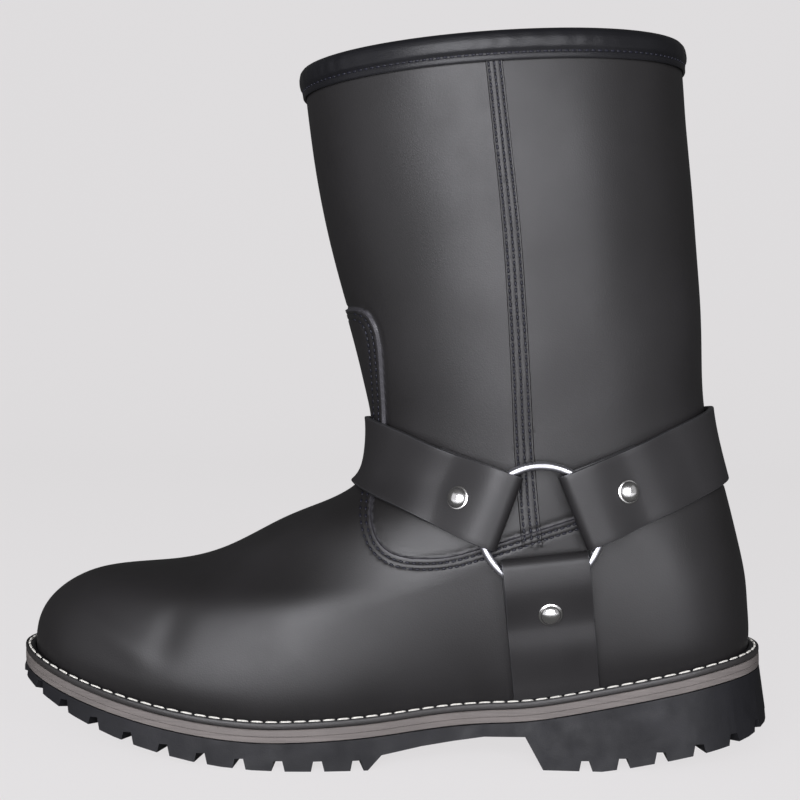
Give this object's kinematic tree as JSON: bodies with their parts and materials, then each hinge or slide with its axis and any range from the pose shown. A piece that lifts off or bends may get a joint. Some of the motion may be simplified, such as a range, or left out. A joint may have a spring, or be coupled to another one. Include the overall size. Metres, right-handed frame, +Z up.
{
  "type": "harness boot",
  "caption": "Left pull-on leather harness boot: hollow shaft and foot on a lug sole, with a ring over the ankle on each side that joins an instep, a heel and a side strap.",
  "frame": {"origin": "middle of the boot's length and width, on the ground under the sole", "axes": "-X towards the toe, -Y towards the outer side of the foot, +Z up the shaft"},
  "size_m": [0.3194, 0.1108, 0.2974],
  "materials": {
    "upper_leather": "smooth black leather, semi-matte with soft highlights",
    "binding_leather": "glossy black rolled leather",
    "strap_leather": "smooth black leather, cut edges",
    "insole_leather": "natural tan leather",
    "lining": "matte tan lining",
    "welt_leather": "matte black",
    "midsole_edge": "sanded grey-brown edge",
    "sole_rubber": "matte charcoal rubber",
    "ring_steel": "polished nickel-plated steel",
    "rivet_steel": "polished dome",
    "black_thread": "waxed thread",
    "white_thread": "waxed off-white thread"
  },
  "bodies": {
    "root": {"upper": "upper_leather", "collar_binding": "binding_leather", "insole": "insole_leather", "welt": "welt_leather", "midsole": "midsole_edge", "outsole": "sole_rubber", "strap_front": "strap_leather", "strap_back": "strap_leather", "strap_side_outer": "strap_leather", "strap_side_inner": "strap_leather", "ring_outer": "ring_steel", "ring_inner": "ring_steel", "rivet_front_outer": "rivet_steel", "rivet_front_inner": "rivet_steel", "rivet_back_outer": "rivet_steel", "rivet_back_inner": "rivet_steel", "rivet_side_outer": "rivet_steel", "rivet_side_inner": "rivet_steel"}
  },
  "joints": []
}
